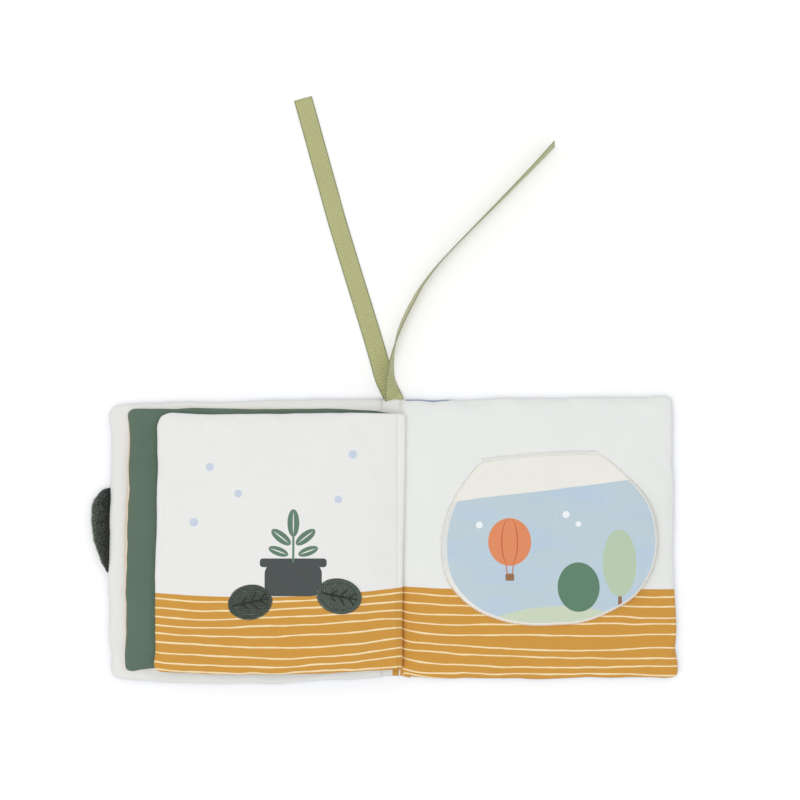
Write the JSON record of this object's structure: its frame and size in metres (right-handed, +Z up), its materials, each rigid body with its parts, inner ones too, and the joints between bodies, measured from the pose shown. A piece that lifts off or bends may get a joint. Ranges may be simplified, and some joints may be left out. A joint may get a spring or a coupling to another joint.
{
  "type": "crinkle cloth book",
  "caption": "Padded cloth book lying open: soft covers and leaves on a spine, a round lift flap, plush patches, a plush tab at the fore-edge and a ribbon with loose tails.",
  "frame": {"origin": "middle of the open covers, on the underside of the spine strip, at the level of the surface the book lies on", "axes": "+X from the front cover to the back cover, +Y along the spine towards the ribbon, +Z up from the surface"},
  "size_m": [0.3102, 0.3167, 0.0208],
  "materials": {
    "page_cloth": "white woven polyester, printed with plain ochre and cream stripes",
    "cover_cloth": "pale blue woven cloth on the outside of the covers",
    "green_cloth": "grey-green woven cloth",
    "peach_cloth": "pale peach woven cloth",
    "wadding": "white fibre wadding",
    "crinkle_film": "thin crackling plastic film",
    "ribbon": "olive grosgrain ribbon with fine cross ribs",
    "dark_plush": "dark green short-pile plush",
    "patch_plush": "dark green looped pile with black embroidery",
    "flap_cloth": "pale blue printed cloth with a cream band",
    "edge_thread": "cream overcast thread"
  },
  "bodies": {
    "back_cover": {"back_cover_page_panel": "page_cloth", "back_cover_outer_panel": "cover_cloth", "back_cover_wadding": "wadding", "back_cover_crinkle_film": "crinkle_film", "spine_strip": "cover_cloth", "leaf_root_fin": "page_cloth", "ribbon_anchor": "ribbon", "ribbon_left_tail": "ribbon", "ribbon_right_tail": "ribbon", "flap_hinge_seam": "edge_thread"},
    "front_cover": {"front_cover_page_panel": "page_cloth", "front_cover_outer_panel": "cover_cloth", "front_cover_wadding": "wadding", "front_cover_crinkle_film": "crinkle_film"},
    "green_leaf": {"green_leaf_upper_panel": "green_cloth", "green_leaf_lower_panel": "peach_cloth", "green_leaf_wadding": "wadding", "green_leaf_crinkle_film": "crinkle_film"},
    "top_leaf": {"top_leaf_upper_panel": "page_cloth", "top_leaf_lower_panel": "green_cloth", "top_leaf_wadding": "wadding", "top_leaf_crinkle_film": "crinkle_film", "left_plush_patch": "patch_plush", "right_plush_patch": "patch_plush"},
    "flap": {"flap_face": "flap_cloth", "flap_backing": "page_cloth", "flap_edge_thread": "edge_thread"},
    "tab": {"tab_upper_skin": "dark_plush", "tab_lower_skin": "dark_plush", "tab_stuffing": "wadding"}
  },
  "joints": [
    {"name": "front_cover_fold", "type": "hinge", "parent": "back_cover", "child": "front_cover", "pos_m": [0.0025, 0, 0.0136], "axis": [0, 1, 0], "range_deg": [0, 174]},
    {"name": "green_leaf_turn", "type": "hinge", "parent": "front_cover", "child": "green_leaf", "pos_m": [0.0025, 0, 0.0136], "axis": [0, -1, 0], "range_deg": [-84, 0]},
    {"name": "top_leaf_turn", "type": "hinge", "parent": "green_leaf", "child": "top_leaf", "pos_m": [0.0025, 0, 0.0136], "axis": [0, -1, 0], "range_deg": [-84, 0]},
    {"name": "flap_lift", "type": "hinge", "parent": "back_cover", "child": "flap", "pos_m": [0.04734, 0.04143, 0.0089], "axis": [0.9978, 0.0666, 0], "range_deg": [-175, 0]},
    {"name": "tab_flop", "type": "hinge", "parent": "front_cover", "child": "tab", "pos_m": [-0.14925, 0.005, 0.0044], "axis": [0, 1, 0], "range_deg": [0, 95]}
  ]
}
